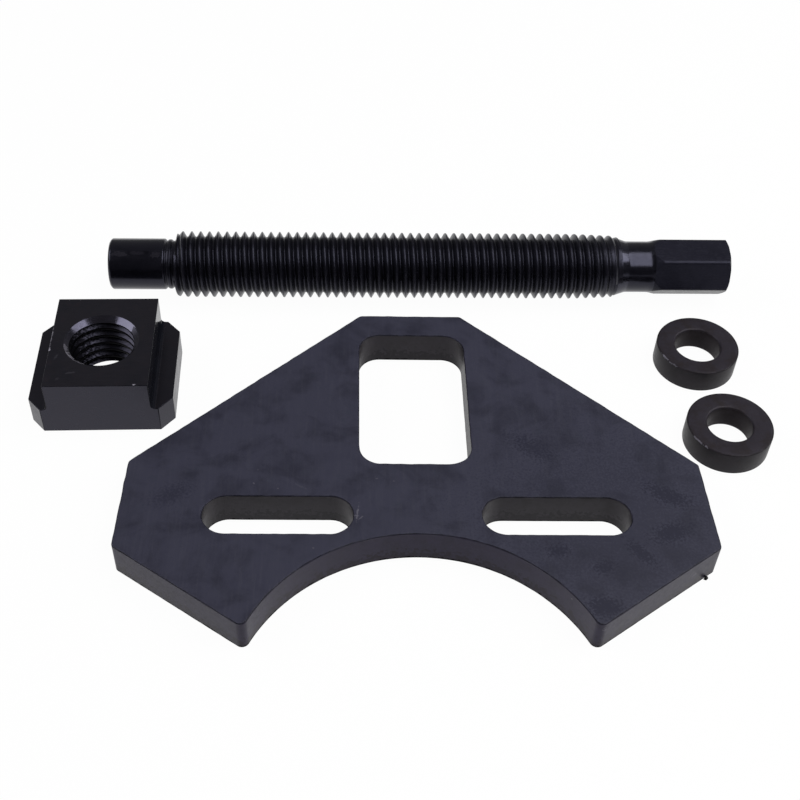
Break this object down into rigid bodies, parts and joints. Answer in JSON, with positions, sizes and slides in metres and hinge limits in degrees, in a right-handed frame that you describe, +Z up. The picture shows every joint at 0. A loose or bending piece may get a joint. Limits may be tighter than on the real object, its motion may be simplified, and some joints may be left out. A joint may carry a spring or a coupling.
{
  "type": "hub puller",
  "caption": "Hub puller laid out in pieces: slotted plate, forcing screw with hexagon end, T-shaped threaded nut block and stud spacer rings.",
  "frame": {"origin": "middle of the laid-out set's bounding box, on the surface that the pieces lie on", "axes": "+Z up; +X to the right along the plate's slot line and the set's longest side; +Y away from the prongs, towards the screw"},
  "size_m": [0.1968, 0.1349, 0.019],
  "materials": {
    "plate_steel": "black oxide on milled steel, blue-grey, with darker patches and small specks",
    "screw_steel": "black oxide on turned steel, semi-gloss, brighter on the neck and on the crests",
    "nut_steel": "black oxide on milled steel, semi-gloss, with worn edges and small chips",
    "spacer_steel": "black oxide on turned steel, satin, with chipped rims"
  },
  "bodies": {
    "root": {"plate": "plate_steel", "forcing_screw": "screw_steel", "nut_block": "nut_steel", "stud_spacer_1": "spacer_steel", "stud_spacer_2": "spacer_steel"}
  },
  "joints": []
}
